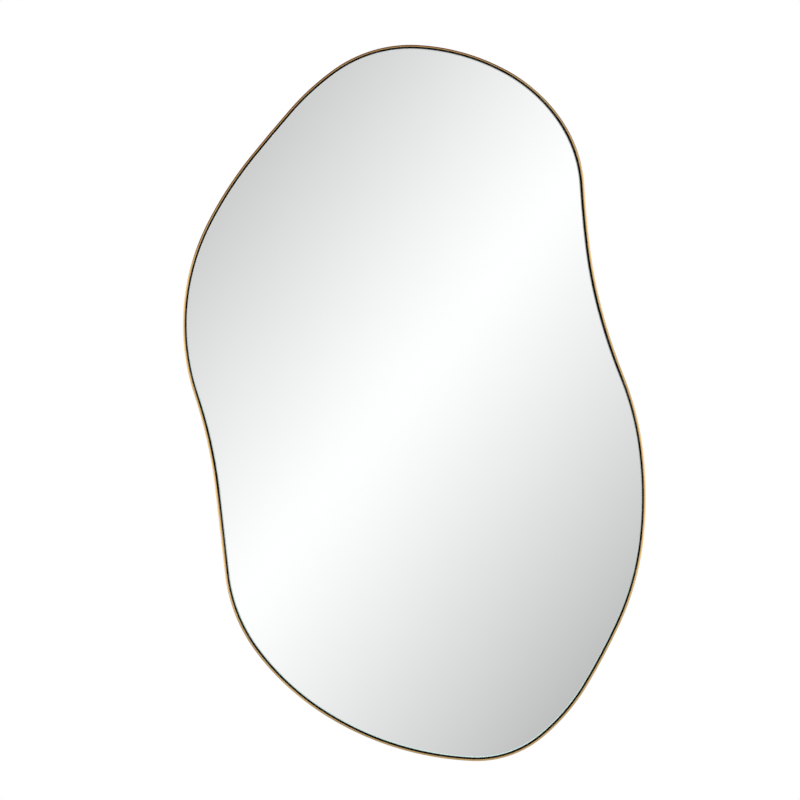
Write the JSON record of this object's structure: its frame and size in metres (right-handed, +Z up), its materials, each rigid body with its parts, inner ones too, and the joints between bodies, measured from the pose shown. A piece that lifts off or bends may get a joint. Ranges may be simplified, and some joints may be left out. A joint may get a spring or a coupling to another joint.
{
  "type": "wall mirror",
  "caption": "Frameless-look wall mirror with a soft uneven outline, a thin brass band round the pane and swinging D-rings behind for hanging it upright or on its side.",
  "frame": {"origin": "on the wall plane, level with where the two upper rings bear on their hooks and midway between them", "axes": "+X to the right as seen from the front, +Y from the front of the mirror to the wall, +Z up"},
  "size_m": [0.7619, 0.026, 1.1789],
  "materials": {
    "brass": "brushed and lacquered",
    "glass": "polished",
    "silver": "mirror",
    "film": "matt film",
    "tape": "matt foam",
    "board": "raw fibreboard, painted black on its front and edges",
    "zinc": "bright zinc plate",
    "rubber": "matt"
  },
  "bodies": {
    "mirror": {"rim_band": "brass", "mirror_glass": "glass", "silver_coating": "silver", "safety_film": "film", "backing_board": "board", "tab_screws": "zinc", "hanger_screws": "zinc", "bumper_screws": "zinc", "bond_tape_1": "tape", "bond_tape_2": "tape", "bond_tape_3": "tape", "bond_tape_4": "tape", "bond_tape_5": "tape", "tab_right_flank": "brass", "tab_right_hip": "brass", "tab_toe_right": "brass", "tab_toe_left": "brass", "tab_heel": "brass", "tab_left_waist": "brass", "tab_left_cheek": "brass", "tab_left_brow": "brass", "tab_crown_left": "brass", "tab_crown_right": "brass", "tab_shoulder": "brass", "tab_right_waist": "brass", "strap_upper_left": "zinc", "strap_upper_right": "zinc", "strap_side_upper": "zinc", "strap_side_lower": "zinc", "bumper_upper_left": "rubber", "bumper_upper_right": "rubber", "bumper_lower_right": "rubber", "bumper_lower_left": "rubber"},
    "upper_left_ring": {"ring_upper_left": "zinc"},
    "upper_right_ring": {"ring_upper_right": "zinc"},
    "side_upper_ring": {"ring_side_upper": "zinc"},
    "side_lower_ring": {"ring_side_lower": "zinc"}
  },
  "joints": [
    {"name": "upper_left_ring_swing", "type": "hinge", "parent": "mirror", "child": "upper_left_ring", "pos_m": [-0.20303, -0.00635, -0.018], "axis": [-1, 0, 0], "range_deg": [0, 179]},
    {"name": "upper_right_ring_swing", "type": "hinge", "parent": "mirror", "child": "upper_right_ring", "pos_m": [0.20303, -0.00635, -0.018], "axis": [-1, 0, 0], "range_deg": [0, 179]},
    {"name": "side_upper_ring_swing", "type": "hinge", "parent": "mirror", "child": "side_upper_ring", "pos_m": [-0.24567, -0.00635, -0.13391], "axis": [0, 0, -1], "range_deg": [0, 179]},
    {"name": "side_lower_ring_swing", "type": "hinge", "parent": "mirror", "child": "side_lower_ring", "pos_m": [-0.24567, -0.00635, -0.54036], "axis": [0, 0, -1], "range_deg": [0, 179]}
  ]
}
